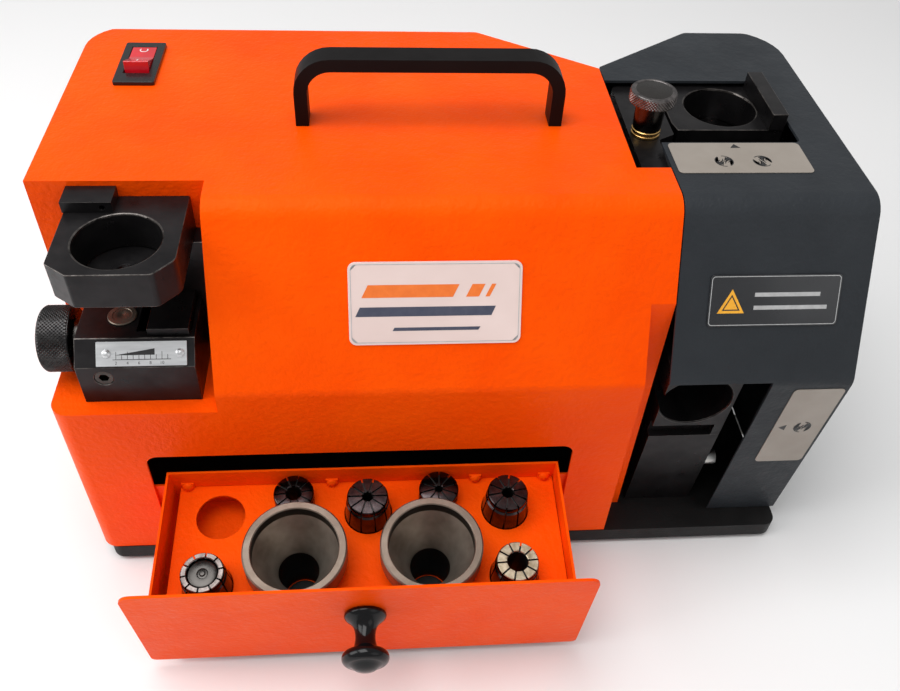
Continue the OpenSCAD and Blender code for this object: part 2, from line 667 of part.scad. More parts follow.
module setting_rail() placed() color("#222224") difference() {
    slab([17.8, 40], [45.4, back_y], [head_z[1] + 0.05, head_z[1] + 5.5]);
    rod_y(2.6, 35.5, [40, 52], head_z[1] + 2.6);
}

module setting_post() placed() color("#1d1d1f") {
    slab([30, 78.6], [46.5, back_y], [z_ledge + 0.05, head_z[0] - 0.05]);
    difference() {
        rod_y(10.4, 38.5, [43.6, 46.6], base_top + 160);
        rod_y(7, 38.5, [40, 45.4], base_top + 160);
    }
}

module setting_base() placed() color("#232325") difference() {
    along_x(low_x, [[low_y0, z_ledge + 0.05], [46.4, z_ledge + 0.05], [46.4, low_z],
        [low_y0 + bevel, low_z], [low_y0, low_z - bevel]]);
    slab([jaw_x[0] - jaw_travel - gap, jaw_x[1] + gap], [pocket_y, far], [low_z - 20, low_z + 5]);
    rod_x(screw_d + 2 * run, [low_x[0] - 1, 51], screw_y, screw_z);
    rod_y(8.7, 28.1, [low_y0 - 1, low_y0 + 12], lock_z);
}

module setting_jaw() placed() color("#262628") difference() {
    union() {
        slab(jaw_x, [pocket_y + gap, jaw_y[1]], [low_z - 19.7, low_z + 1]);
        slab(jaw_x, jaw_y, [low_z + gap, low_z + 4.2]);
    }
    rod_x(screw_d + 2 * run, [0, far], screw_y, screw_z);
}

module setting_knob() placed() color("#2a2a2c") translate([0, screw_y, screw_z]) rotate([0, 90, 0]) turned([
    [0, x_min], [15.2, x_min], [16.2, x_min + 1], [16.2, 11.3], [15.2, 12.3], [9, 12.3],
    [9, low_x[0] - 0.4], [screw_d / 2, low_x[0] - 0.4], [screw_d / 2, 66], [0, 66]]);

module on_bevel() {
    placed() translate([0, low_y0, low_z - bevel]) rotate([45, 0, 0]) children();
}
rivet_x = [30.9, 64.3];

module scale_plate() color("#d6d8da") on_bevel() difference() {
    along_z([0.05, 0.85], box_outline([26.3, 67.4], [0.8, 12.2], 0.4));
    for (x = rivet_x) rod_z(2.2, x, 6.6, [-5, 5]);
}

module scale_rivets() color("#c9cbce") on_bevel() for (x = rivet_x) translate([x, 6.6, 0]) {
    translate([0, 0, 0.9]) turned([[0, 0], [2.1, 0], [1.9, 0.5], [1.1, 1], [0, 1.2]]);
    translate([0, 0, 0.05]) cylinder(d = 2.1, h = 1);
}

module gauge_button() placed() color("#6a6258") rod_z(13.6, 35.6, 32.9, [low_z + 0.05, low_z + 1]);

lock_z = base_top + 127.8;
module lock_screw() placed() color("#151516") difference() {
    rod_y(8.6, 28.1, [low_y0 + 0.4, low_y0 + 10], lock_z);
    translate([28.1, low_y0 + 4, lock_z]) rotate([90, 0, 0]) cylinder(d = 4.8, h = 8, $fn = 6);
}

// ---- drawer, modelled closed and drawn out -----------------------------------

tab_reach = 9;
rivet_at = [55.5, 130, 206, 243];
rivet_z = deck_z + 2.2;
module drawer_tray() color("#ff5a08") drawn_out() difference() {
    union() {
        slab(tray_x, [-gap, tray_y1], [tray_z0, tray_top]);
        slab([tray_x[0] - tab_reach, tray_x[1] + tab_reach], [tray_y1 - tray_t, tray_y1],
            [tray_top - 36, tray_top - 12]);
    }
    slab(tray_x + [tray_t, -tray_t], [-1, tray_y1 - tray_t], [tray_z0 + tray_t, far]);
    for (x = rivet_at) rod_y(3.2, x, [tray_y1 - 5, tray_y1 + 5], rivet_z);
}

module drawer_front() color("#ff5a08") drawn_out() difference() {
    x0 = drawer_cx - drawer_front_w / 2;
    x1 = drawer_cx + drawer_front_w / 2;
    z = drawer_front_z;
    along_y([-gap - drawer_front_t, -gap - 0.05],
        rounded([[x0, z[0], 3], [x1, z[0], 3], [x1, z[1], 6], [x0, z[1], 6]]));
    rod_y(4.4, drawer_cx, [-20, 20], drawer_knob_z);
}

// sheet across the tray with holes for the two chucks
module holed_sheet(x, z) {
    difference() {
        slab(x, [2.5, tray_y1 - tray_t - 0.1], [z - tray_t, z]);
        for (p = chuck_xy) rod_z(chuck_body_d + 1.5, p[0], p[1], [0, far]);
    }
}

module drawer_deck() color("#ff5a08") drawn_out() {
    difference() {
        holed_sheet(deck_x, deck_z);
        for (p = large_collets) rod_z(large_hole_d, p[0], p[1], [0, far]);
        for (p = small_collets) rod_z(small_hole_d, p[0], p[1], [0, far]);
        rod_z(large_hole_d, spare_hole[0], spare_hole[1], [0, far]);
    }
    for (x = rivet_at) {
        slab([x - 3.2, x + 3.2], [tray_y1 - tray_t - 1.1, tray_y1 - tray_t - 0.1],
            [deck_z - 0.5, deck_z + 4.6]);
        translate([x, tray_y1 - tray_t - 1, rivet_z]) rotate([90, 0, 0])
            turned([[0, -2.4], [1.5, -2.4], [1.5, 0], [2.9, 0], [2.6, 1], [1.6, 2], [0, 2.4]]);
    }
}

module collet_shelf() color("#ff5a08") drawn_out()
    holed_sheet(tray_x + [tray_t + 0.1, -tray_t - 0.1], shelf_z);

module drawer_knob() color("#0d0d0e") drawn_out()
    translate([drawer_cx, -gap - drawer_front_t - 0.05, drawer_knob_z]) rotate([90, 0, 0]) {
        turned(knob_outline);
        translate([0, 0, -drawer_front_t - 2.2]) cylinder(d = 4, h = 4);
    }

// collet chuck: flanged mouth with a cone inside, on a plain body that fits the ports
chuck_mouth_r = 21.1;
chuck_hole_r = 10.2;
chuck_bottom = tray_z0 + tray_t + gap;
module chuck(p) {
    rim = chuck_rim_d / 2;
    body = chuck_body_d / 2;
    t = chuck_rim_top;
    drawn_out() translate([p[0], p[1], 0]) turned([[chuck_hole_r, t - 27], [chuck_mouth_r, t - 6],
        [chuck_mouth_r, t - 0.5], [chuck_mouth_r + 0.5, t], [rim - 0.7, t], [rim, t - 0.7],
        [rim, t - 11.5], [rim - 1, t - 12.5], [body, t - 12.5],
        [body, chuck_bottom + 1], [body - 1, chuck_bottom], [chuck_hole_r, chuck_bottom]]);
}

module chuck_left() color("#8a8379") chuck(chuck_xy[0]);
module chuck_right() color("#8a8379") chuck(chuck_xy[1]);

// spring collets standing on the shelf with their noses up: [radius, depth below the nose]
large_collet_h = 34;
small_collet_h = 26;
large_outline = [[10, 0], [10.4, -0.5], [12.1, -17.4], [12.1, -20.5], [8.6, -large_collet_h]];
small_outline = [[9.7, 0], [10.3, -0.8], [10.3, -9.3], [9.5, -9.3], [7.4, -small_collet_h]];
module collet(p, outline) {
    h = -outline[len(outline) - 1][1];
    drawn_out() translate([p[0], p[1], shelf_z + 0.1 + h])
        turned(concat([[p[2] / 2, 0]], outline, [[p[2] / 2, -h]]));
}

module collet_front_left() color("#3b3a3c") collet(large_collets[0], large_outline);
module collet_back_1() color("#3b3a3c") collet(small_collets[0], small_outline);
module collet_back_2() color("#3b3a3c") collet(large_collets[1], large_outline);
module collet_back_3() color("#3b3a3c") collet(small_collets[1], small_outline);
module collet_back_4() color("#3b3a3c") collet(large_collets[2], large_outline);
module collet_front_right() color("#57534a") collet(large_collets[3], large_outline);

// ---- nodes -------------------------------------------------------------------

base_plate();
rubber_feet();
body_screws();
housing();
bulkhead();
carry_handle();
switch_body();
switch_rocker();
name_plate();
cord_gland();
wheel_cover();
caution_plate();
top_port_label();
front_port_label();
hinge_base_leaf();
hinge_cover_leaf();
hinge_pin();
port_casting();
feed_plate();
top_port_block();
top_port_rail();
front_port_block();
feed_knob();
brass_ring();
grinding_wheel();
abrasive_rim();
wheel_nut();
motor_shell();
stator_core();
stator_windings();
fan_end_bell();
drive_end_bell();
motor_shaft();
rotor_core();
cooling_fan();
motor_bearings();
motor_cradle();
setting_head();
setting_rail();
setting_post();
setting_base();
setting_jaw();
setting_knob();
scale_plate();
scale_rivets();
gauge_button();
lock_screw();
drawer_tray();
drawer_front();
drawer_deck();
collet_shelf();
drawer_knob();
chuck_left();
chuck_right();
collet_front_left();
collet_back_1();
collet_back_2();
collet_back_3();
collet_back_4();
collet_front_right();
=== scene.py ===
import json
import math

import bmesh
import bpy
import numpy as np
from mathutils import Matrix, Vector

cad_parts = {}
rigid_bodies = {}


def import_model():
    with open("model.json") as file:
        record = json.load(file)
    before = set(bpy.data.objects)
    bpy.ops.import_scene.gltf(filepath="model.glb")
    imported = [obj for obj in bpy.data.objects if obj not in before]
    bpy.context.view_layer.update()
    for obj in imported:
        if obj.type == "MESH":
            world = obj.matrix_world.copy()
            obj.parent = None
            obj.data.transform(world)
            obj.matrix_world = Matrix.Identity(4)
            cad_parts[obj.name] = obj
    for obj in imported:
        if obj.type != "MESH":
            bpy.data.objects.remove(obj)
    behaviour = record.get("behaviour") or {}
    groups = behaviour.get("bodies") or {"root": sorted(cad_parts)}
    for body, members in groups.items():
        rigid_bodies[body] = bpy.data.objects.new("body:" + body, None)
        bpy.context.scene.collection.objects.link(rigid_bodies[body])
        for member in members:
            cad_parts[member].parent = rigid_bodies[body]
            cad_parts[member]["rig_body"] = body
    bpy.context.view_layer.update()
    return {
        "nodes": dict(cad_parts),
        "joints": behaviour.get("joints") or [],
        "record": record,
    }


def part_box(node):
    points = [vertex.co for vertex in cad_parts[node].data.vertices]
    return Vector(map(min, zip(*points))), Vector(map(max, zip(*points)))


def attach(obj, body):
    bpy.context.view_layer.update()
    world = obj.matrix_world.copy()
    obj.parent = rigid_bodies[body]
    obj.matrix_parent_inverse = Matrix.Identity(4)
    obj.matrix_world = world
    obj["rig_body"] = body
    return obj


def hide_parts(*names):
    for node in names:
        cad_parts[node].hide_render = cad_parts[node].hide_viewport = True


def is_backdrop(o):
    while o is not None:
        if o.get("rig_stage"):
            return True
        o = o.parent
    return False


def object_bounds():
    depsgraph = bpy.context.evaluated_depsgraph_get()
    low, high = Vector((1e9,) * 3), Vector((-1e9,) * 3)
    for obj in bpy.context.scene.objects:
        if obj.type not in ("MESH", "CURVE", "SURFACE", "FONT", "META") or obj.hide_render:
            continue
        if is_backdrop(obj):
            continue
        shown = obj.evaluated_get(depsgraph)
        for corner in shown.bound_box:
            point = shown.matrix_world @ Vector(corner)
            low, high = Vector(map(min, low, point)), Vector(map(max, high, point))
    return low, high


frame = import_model()
nodes = frame["nodes"]
MM = 0.001


def body_of(node):
    return nodes[node]["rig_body"]


slot_of = {s["node"]: s["material_slot"] for s in frame["record"]["subparts"]}


# ---- materials ----------------------------------------------------------------

def coords(nt, scale=(1, 1, 1), turn=(0, 0, 0)):
    tc = nt.nodes.new("ShaderNodeTexCoord")
    if scale == (1, 1, 1) and turn == (0, 0, 0):
        return tc.outputs["Object"]
    mp = nt.nodes.new("ShaderNodeMapping")
    mp.inputs["Scale"].default_value = scale
    mp.inputs["Rotation"].default_value = turn
    nt.links.new(tc.outputs["Object"], mp.inputs["Vector"])
    return mp.outputs["Vector"]


def noise(nt, scale, detail=2.0, rough=0.5, stretch=(1, 1, 1), turn=(0, 0, 0)):
    n = nt.nodes.new("ShaderNodeTexNoise")
    n.inputs["Scale"].default_value = scale
    n.inputs["Detail"].default_value = detail
    n.inputs["Roughness"].default_value = rough
    nt.links.new(coords(nt, stretch, turn), n.inputs["Vector"])
    return n.outputs["Fac"]


def rings(nt, scale, distortion=0.6):
    w = nt.nodes.new("ShaderNodeTexWave")
    w.wave_type = "RINGS"
    w.rings_direction = "Z"
    w.inputs["Scale"].default_value = scale
    w.inputs["Distortion"].default_value = distortion
    w.inputs["Detail"].default_value = 2.0
    nt.links.new(coords(nt), w.inputs["Vector"])
    return w.outputs["Fac"]


def ranged(nt, value, low, high, start=0.3, end=0.7):
    r = nt.nodes.new("ShaderNodeMapRange")
    r.inputs["From Min"].default_value = start
    r.inputs["From Max"].default_value = end
    r.inputs["To Min"].default_value = low
    r.inputs["To Max"].default_value = high
    nt.links.new(value, r.inputs["Value"])
    return r.outputs["Result"]


def blended(nt, value, low, high):
    m = nt.nodes.new("ShaderNodeMix")
    m.data_type = "RGBA"
    m.inputs[6].default_value = (*low, 1)
    m.inputs[7].default_value = (*high, 1)
    nt.links.new(ranged(nt, value, 0, 1), m.inputs[0])
    return m.outputs[2]


MATS = {}


def finish(name, low, high, rough, metal=0.0, coat=0.0, coat_rough=0.15, level=0.5,
           cloud=30.0, grains=(), turned=None, brushed=None, rough_scale=90.0, tint=(1, 1, 1)):
    """Adds a surface to MATS: colours from low to high, and bumps from (scale, depth in mm) grains."""
    m = bpy.data.materials.new(name)
    m.use_nodes = True
    nt = m.node_tree
    b = nt.nodes["Principled BSDF"]
    b.inputs["Metallic"].default_value = metal
    b.inputs["Coat Weight"].default_value = coat
    b.inputs["Coat Roughness"].default_value = coat_rough
    b.inputs["Specular IOR Level"].default_value = level
    b.inputs["Specular Tint"].default_value = (*tint, 1)
    stretch = brushed or (1, 1, 1)
    nt.links.new(blended(nt, noise(nt, cloud, 3.0, 0.6, stretch), low, high), b.inputs["Base Color"])
    nt.links.new(ranged(nt, noise(nt, rough_scale, 3.0, 0.6, stretch), *rough), b.inputs["Roughness"])
    normal = None
    sources = [(noise(nt, s, 2.0, 0.5, stretch), d) for s, d in grains]
    if turned:
        sources.append((rings(nt, turned[0]), turned[1]))
    for value, depth in sources:
        bump = nt.nodes.new("ShaderNodeBump")
        bump.inputs["Strength"].default_value = 1.0
        bump.inputs["Distance"].default_value = depth * MM
        nt.links.new(value, bump.inputs["Height"])
        if normal is not None:
            nt.links.new(normal, bump.inputs["Normal"])
        normal = bump.outputs["Normal"]
    if normal is not None:
        nt.links.new(normal, b.inputs["Normal"])
    MATS[name] = m


finish("orange_powder_coat", (0.93, 0.066, 0.0004), (1.0, 0.092, 0.001), (0.38, 0.5),
       level=0.17, tint=(1.0, 0.4, 0.15), cloud=16, grains=[(330, 0.42), (900, 0.1)])
finish("grey_powder_coat", (0.018, 0.021, 0.025), (0.027, 0.031, 0.036), (0.4, 0.55),
       level=0.22, cloud=16, grains=[(330, 0.36), (900, 0.09)])
finish("black_powder_coat", (0.004, 0.004, 0.004), (0.01, 0.009, 0.009), (0.45, 0.6),
       level=0.25, cloud=24, grains=[(600, 0.14)])
finish("black_oxide_steel", (0.013, 0.012, 0.013), (0.028, 0.026, 0.027), (0.26, 0.42),
       metal=0.7, level=0.35, cloud=60, grains=[(160, 0.012), (900, 0.006)], rough_scale=140)
finish("worn_edge", (0.02, 0.018, 0.018), (0.17, 0.155, 0.145), (0.24, 0.42),
       metal=1.0, cloud=190, grains=[(700, 0.01)])
finish("knurled_steel", (0.03, 0.029, 0.03), (0.075, 0.072, 0.071), (0.22, 0.36),
       metal=1.0, cloud=320, grains=[(1400, 0.008)])
finish("bright_knurl", (0.07, 0.065, 0.065), (0.22, 0.2, 0.195), (0.24, 0.38),
       metal=1.0, cloud=320, grains=[(1400, 0.008)])
finish("polished_dark_steel", (0.045, 0.042, 0.04), (0.085, 0.079, 0.074), (0.22, 0.34),
       metal=1.0, cloud=50, grains=[(500, 0.004)], turned=(900, 0.004))
finish("brass", (0.62, 0.36, 0.11), (0.8, 0.52, 0.2), (0.2, 0.32),
       metal=1.0, cloud=160, grains=[(900, 0.004)], turned=(900, 0.006))
finish("bright_steel", (0.42, 0.42, 0.43), (0.6, 0.6, 0.6), (0.22, 0.38),
       metal=1.0, cloud=120, grains=[(700, 0.004)])
finish("zinc_steel", (0.4, 0.41, 0.43), (0.58, 0.57, 0.52), (0.28, 0.45),
       metal=1.0, cloud=180, grains=[(900, 0.006)])
finish("chuck_steel", (0.15, 0.118, 0.092), (0.215, 0.172, 0.138), (0.34, 0.46),
       metal=0.8, cloud=70, grains=[(900, 0.004)], turned=(420, 0.01))
# painted shade: the wall of each chuck's mouth, between the rim and the cone, darker than the chuck's
# steel
finish("chuck_mouth_shade", (0.045, 0.036, 0.03), (0.085, 0.07, 0.058), (0.3, 0.42),
       metal=0.9, cloud=60, grains=[(900, 0.004)], turned=(700, 0.01))
finish("chuck_cone", (0.215, 0.178, 0.145), (0.44, 0.385, 0.325), (0.3, 0.42),
       metal=0.8, cloud=55, grains=[(900, 0.004)], turned=(650, 0.03))
# painted shade: near-black steel for the inside of the chucks' bores and for the collets' cores behind
# their slots
finish("bore_shade_black", (0.004, 0.0035, 0.003), (0.009, 0.008, 0.007), (0.3, 0.45),
       metal=0.3, cloud=90, grains=[(900, 0.004)], turned=(800, 0.006))
finish("collet_steel", (0.024, 0.019, 0.021), (0.07, 0.057, 0.058), (0.14, 0.28),
       metal=1.0, cloud=220, grains=[(500, 0.008)], turned=(500, 0.004))
finish("collet_face_grey", (0.1, 0.085, 0.08), (0.27, 0.23, 0.215), (0.24, 0.4),
       metal=0.9, cloud=260, grains=[(900, 0.006)], turned=(700, 0.006))
finish("collet_face_bright", (0.27, 0.215, 0.135), (0.58, 0.5, 0.37), (0.26, 0.4),
       metal=0.9, cloud=260, grains=[(900, 0.005)], turned=(700, 0.006))
finish("cast_alloy", (0.36, 0.36, 0.37), (0.52, 0.52, 0.53), (0.42, 0.6),
       metal=1.0, cloud=60, grains=[(500, 0.06)])
finish("core_steel", (0.2, 0.2, 0.21), (0.34, 0.34, 0.35), (0.35, 0.5),
       metal=1.0, cloud=60, grains=[(160, 0.05)], brushed=(14, 1, 1))
finish("winding_wire", (0.32, 0.09, 0.025), (0.56, 0.21, 0.06), (0.2, 0.35),
       coat=0.6, cloud=200, grains=[(260, 0.3)], brushed=(6, 1, 1))
finish("abrasive", (0.17, 0.15, 0.12), (0.46, 0.42, 0.35), (0.75, 0.95),
       cloud=1500, grains=[(1600, 0.25)])
finish("scale_silver", (0.6, 0.61, 0.62), (0.76, 0.77, 0.78), (0.28, 0.42),
       metal=0.75, cloud=40, grains=[(300, 0.004)], brushed=(1, 9, 9))
finish("handle_black", (0.003, 0.002, 0.002), (0.005, 0.004, 0.004), (0.4, 0.5),
       level=0.12, cloud=25, grains=[(1100, 0.012)])
finish("black_plastic", (0.005, 0.005, 0.006), (0.009, 0.009, 0.01), (0.2, 0.34),
       level=0.35, coat=0.2, coat_rough=0.1, cloud=30, grains=[(420, 0.006)])
finish("knob_black", (0.002, 0.002, 0.0025), (0.004, 0.004, 0.005), (0.12, 0.2),
       level=0.25, coat=0.08, coat_rough=0.05, cloud=30, grains=[(120, 0.01)])
finish("switch_red", (0.5, 0.004, 0.01), (0.7, 0.01, 0.022), (0.12, 0.22),
       coat=0.5, coat_rough=0.06, cloud=60, grains=[(300, 0.008)])
finish("fan_plastic", (0.02, 0.022, 0.026), (0.035, 0.038, 0.044), (0.4, 0.55),
       cloud=40, grains=[(500, 0.02)])
finish("foot_rubber", (0.008, 0.008, 0.008), (0.018, 0.018, 0.018), (0.7, 0.85),
       cloud=60, grains=[(900, 0.05)])
finish("name_label", (0.72, 0.56, 0.52), (0.8, 0.64, 0.6), (0.34, 0.45),
       level=0.3, coat=0.1, cloud=20, grains=[(700, 0.006)])
finish("port_label", (0.3, 0.262, 0.225), (0.36, 0.32, 0.282), (0.34, 0.46),
       metal=0.2, level=0.3, cloud=30, grains=[(900, 0.006)])
finish("caution_label", (0.005, 0.006, 0.008), (0.009, 0.01, 0.013), (0.18, 0.28),
       coat=0.5, coat_rough=0.1, cloud=20, grains=[(600, 0.004)])
finish("ink_black", (0.01, 0.01, 0.011), (0.024, 0.023, 0.023), (0.35, 0.5),
       cloud=200)
finish("ink_amber", (0.8, 0.36, 0.02), (0.9, 0.44, 0.03), (0.3, 0.4),
       cloud=200)
finish("ink_orange", (0.8, 0.16, 0.02), (0.88, 0.2, 0.03), (0.3, 0.4),
       cloud=200)
finish("ink_slate", (0.05, 0.055, 0.09), (0.07, 0.075, 0.11), (0.3, 0.4),
       cloud=200)
finish("ink_silver", (0.42, 0.42, 0.42), (0.55, 0.55, 0.55), (0.3, 0.45),
       metal=0.4, cloud=200)
finish("ink_white", (0.72, 0.7, 0.7), (0.82, 0.8, 0.8), (0.3, 0.45),
       cloud=200)


# ---- building pieces ----------------------------------------------------------

def add(name, bm, body, mats, matrix=None, sharp=32, weighted=False):
    bmesh.ops.recalc_face_normals(bm, faces=bm.faces)
    me = bpy.data.meshes.new(name)
    bm.to_mesh(me)
    bm.free()
    for m in mats:
        me.materials.append(MATS[m])
    me.shade_smooth()
    me.set_sharp_from_angle(angle=math.radians(sharp))
    ob = bpy.data.objects.new(name, me)
    bpy.context.scene.collection.objects.link(ob)
    if matrix is not None:
        ob.matrix_world = matrix
    if weighted:
        w = ob.modifiers.new("even_normals", "WEIGHTED_NORMAL")
        w.keep_sharp = True
    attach(ob, body)
    return ob


def softened(node, width, mats=None, segs=2, angle=30, convex_only=False):
    """Copy of a CAD node with its creases rounded by width mm; a second material covers them."""
    bm = bmesh.new()
    bm.from_mesh(nodes[node].data)
    bmesh.ops.remove_doubles(bm, verts=bm.verts, dist=0.002 * MM)
    bmesh.ops.dissolve_limit(bm, angle_limit=math.radians(0.3), use_dissolve_boundaries=False,
                             verts=bm.verts, edges=bm.edges, delimit=set())
    creases = [e for e in bm.edges
               if len(e.link_faces) == 2 and e.calc_face_angle(0) > math.radians(angle)
               and (e.is_convex or not convex_only)]
    mats = mats or [slot_of[node]]
    bmesh.ops.bevel(bm, geom=creases, offset=width * MM, offset_type="OFFSET", segments=segs,
                    profile=0.5, affect="EDGES", clamp_overlap=True, loop_slide=True,
                    material=len(mats) - 1)
    ob = add(node + "_detail", bm, body_of(node), mats, sharp=50, weighted=True)
    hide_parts(node)


def on_circle(bm, r, z, count):
    """Ring of vertices about z, in mm; a single vertex where it is on the axis."""
    if r < 1e-6:
        return [bm.verts.new((0, 0, z * MM))]
    angles = [2 * math.pi * i / count for i in range(count)]
    return [bm.verts.new((r * MM * math.cos(a), r * MM * math.sin(a), z * MM)) for a in angles]


def lathed(bm, outline, segs=96, mat=0):
    """Turns a (radius, height) outline in mm about z into bm. One off the axis at both ends is closed."""
    loops = [on_circle(bm, r, z, segs) for r, z in outline]
    pairs = list(zip(loops, loops[1:]))
    if len(loops[0]) > 1 and len(loops[-1]) > 1:
        pairs.append((loops[-1], loops[0]))
    for a, b in pairs:
        for i in range(segs):
            j = (i + 1) % segs
            if len(a) == 1 and len(b) == 1:
                continue
            if len(a) == 1:
                corners = [a[0], b[i], b[j]]
            elif len(b) == 1:
                corners = [a[i], b[0], a[j]]
            else:
                corners = [a[i], b[i], b[j], a[j]]
            bm.faces.new(corners).material_index = mat


def knurl(bm, radius, z0, z1, depth, pitch):
    """Sleeve of crossed-groove diamonds, closed by a plain inner wall."""
    per_pitch = 4
    cols = per_pitch * int(round(2 * math.pi * radius / pitch))
    rows = max(4, int(round((z1 - z0) / pitch * per_pitch)))
    inner = radius - depth - 0.4

    def groove(v):
        return abs((v % 1.0) - 0.5) * 2

    grid = []
    for j in range(rows + 1):
        row = []
        for i in range(cols):
            t, s = i / per_pitch, j / per_pitch
            height = 0 if j in (0, rows) else 1 - max(groove(t + s), groove(t - s))
            r = radius - depth * (1 - height)
            a = 2 * math.pi * i / cols
            row.append(bm.verts.new((r * MM * math.cos(a), r * MM * math.sin(a),
                                     (z0 + (z1 - z0) * j / rows) * MM)))
        grid.append(row)
    grid += [on_circle(bm, inner, z, cols) for z in (z1, z0)]
    for a, b in zip(grid, grid[1:] + grid[:1]):
        for i in range(cols):
            k = (i + 1) % cols
            bm.faces.new([a[i], a[k], b[k], b[i]])


def axes_from(z_axis, x_hint=(1, 0, 0)):
    z = Vector(z_axis).normalized()
    y = z.cross(Vector(x_hint)).normalized()
    x = y.cross(z)
    return x, y, z


def measured(node, axes):
    """Box of a node's vertices along three axes, in mm."""
    turned = np.array([v.co for v in nodes[node].data.vertices]) @ np.array([list(a) for a in axes]).T
    return turned.min(0) / MM, turned.max(0) / MM


def frame_at(axes, point):
    """Matrix with its axes along `axes` and its origin at that point, given in mm along the axes."""
    x, y, z = axes
    m = Matrix((x, y, z)).transposed().to_4x4()
    m.translation = (x * point[0] + y * point[1] + z * point[2]) * MM
    return m


def foot_of(node, axes):
    """Middle of a node's low end along axes[2], in mm along the axes."""
    low, high = measured(node, axes)
    return (low[0] + high[0]) / 2, (low[1] + high[1]) / 2, low[2]


def length_of(node, axes):
    low, high = measured(node, axes)
    return high[2] - low[2]


def turned_piece(node, axes, outline, mats, segs=96, sharp=32, bands=(), knurls=()):
    """Piece turned about axes[2] in place of a node. Outline heights are from its low end; the faces
    that pass a band's test take its material."""
    bm = bmesh.new()
    lathed(bm, outline, segs)
    for f in bm.faces:
        c = f.calc_center_median() / MM
        for test, index in bands:
            if test(math.hypot(c.x, c.y), c.z):
                f.material_index = index
    for k in knurls:
        knurl(bm, *k)
    ob = add(node + "_detail", bm, body_of(node), mats, frame_at(axes, foot_of(node, axes)), sharp)
    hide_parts(node)


UP = axes_from((0, 0, 1))
RIGHT = axes_from((1, 0, 0), (0, 1, 0))
seat = Vector(next(j for j in frame["joints"] if j["name"] == "left_chuck_lift")["axis"])
DRAWN = axes_from(-seat if seat.z < 0 else seat)

# sheet metal, plates and blocks with softened edges
for node, width in (("housing", 0.5), ("wheel_cover", 0.5), ("base_plate", 0.8), ("drawer_tray", 0.25),
                    ("drawer_deck", 0.25), ("drawer_front", 0.45), ("collet_shelf", 0.25),
                    ("switch_body", 0.35), ("name_plate", 0.12), ("caution_plate", 0.12),
                    ("top_port_label", 0.08), ("front_port_label", 0.08), ("cord_gland", 0.35),
                    ("motor_cradle", 0.4), ("hinge_base_leaf", 0.2), ("hinge_cover_leaf", 0.2),
                    ("cooling_fan", 0.2), ("wheel_nut", 0.25), ("body_screws", 0.2), ("bulkhead", 0.3)):
    softened(node, width)
softened("lock_screw", 0.2, ["polished_dark_steel"])
softened("carry_handle", 2.4, segs=5)
softened("switch_rocker", 0.5, segs=3)
for node, width in (("port_casting", 0.5), ("feed_plate", 0.45), ("top_port_block", 0.5),
                    ("top_port_rail", 0.4), ("front_port_block", 0.5), ("setting_head", 0.55),
                    ("setting_rail", 0.4), ("setting_post", 0.4), ("setting_base", 0.5),
                    ("setting_jaw", 0.4)):
    softened(node, width, ["black_oxide_steel", "worn_edge"], convex_only=True)
softened("scale_plate", 0.12)

# knob of the setting jaw: dished face, knurled rim, hub and spindle
end = length_of("setting_knob", RIGHT)
turned_piece("setting_knob", RIGHT, [
    (0, 0.9), (4.2, 0.9), (4.8, 0.5), (9.5, 0.5), (10.2, 0), (14.9, 0), (15.3, 0.35), (15.3, 14.3),
    (14.9, 14.7), (10, 14.7), (9.3, 14.9), (9, 15.4), (9, 18.2), (4, 18.2), (4, end - 0.6), (3.4, end),
    (0, end)],
    ["knurled_steel", "polished_dark_steel"],
    bands=[(lambda r, z: r < 15 or z > 14.6, 1)], knurls=[(16.2, 0.7, 14.0, 0.55, 1.75)])

# feed knob: waisted neck under a knurled head
low, high = measured("feed_knob", UP)
radius = (high[0] - low[0]) / 2
end = length_of("feed_knob", UP)
head = end - 6.6
turned_piece("feed_knob", UP, [
    (0, 0), (3.6, 0), (4, 0.4), (4, 25.4), (6.9, 25.4), (7.1, 25.7), (7.35, 32), (7.35, 36),
    (7.5, head - 1.4), (8.2, head - 0.6), (9.6, head), (10.7, head), (11.1, head + 0.4),
    (11.1, end - 1.1), (10.6, end - 0.45), (9.2, end - 0.3), (8.9, end - 0.5), (4.2, end - 0.1),
    (0, end)],
    ["bright_knurl", "polished_dark_steel"],
    bands=[(lambda r, z: z < head + 0.1 or r < 9, 1)],
    knurls=[(radius, head + 0.3, end - 0.8, 0.5, 1.6)])

turned_piece("brass_ring", UP, [
    (4.5, 0), (7.0, 0), (7.3, 0.25), (7.3, 1.3), (7.15, 1.45), (6.85, 1.6), (6.85, 1.9), (7.15, 2.05),
    (7.3, 2.2), (7.3, 3.4), (7.0, 3.7), (4.5, 3.7)], ["brass"])
turned_piece("gauge_button", UP, [
    (0, 0), (6.5, 0), (6.8, 0.25), (6.8, 0.6), (6.4, 0.95), (4.6, 0.95), (4.3, 0.75), (1.6, 0.75),
    (1.2, 0.55), (0, 0.5)], ["chuck_steel"])

# drawer knob with a pinched waist and a domed end, on a short stub
KNOB = axes_from(-DRAWN[1])
stub = 3.7
knob_shape = [(9.4, 0), (10, 0.3), (10.2, 1.2), (9.9, 2.2), (8.6, 3.4), (6.8, 4.7), (5.6, 6.4), (5, 8.4),
              (4.75, 10.4), (4.8, 12.4), (5.3, 15), (6.3, 17)]
for a in range(-60, 91, 10):
    knob_shape.append((7.9 + 3.3 * math.cos(math.radians(a)), 20.6 + 3.2 * math.sin(math.radians(a))))
knob_shape += [(6.4, 24.7), (4.6, 25.9), (2.2, 26.6), (0, 26.8)]
fitted = length_of("drawer_knob", KNOB) / (stub + knob_shape[-1][1])
turned_piece("drawer_knob", KNOB, [(0, 0), (1.6, 0), (2, 0.4), (2, stub), (knob_shape[0][0], stub)]
             + [(r, (stub + z) * fitted) for r, z in knob_shape[1:]], ["knob_black"], sharp=60)
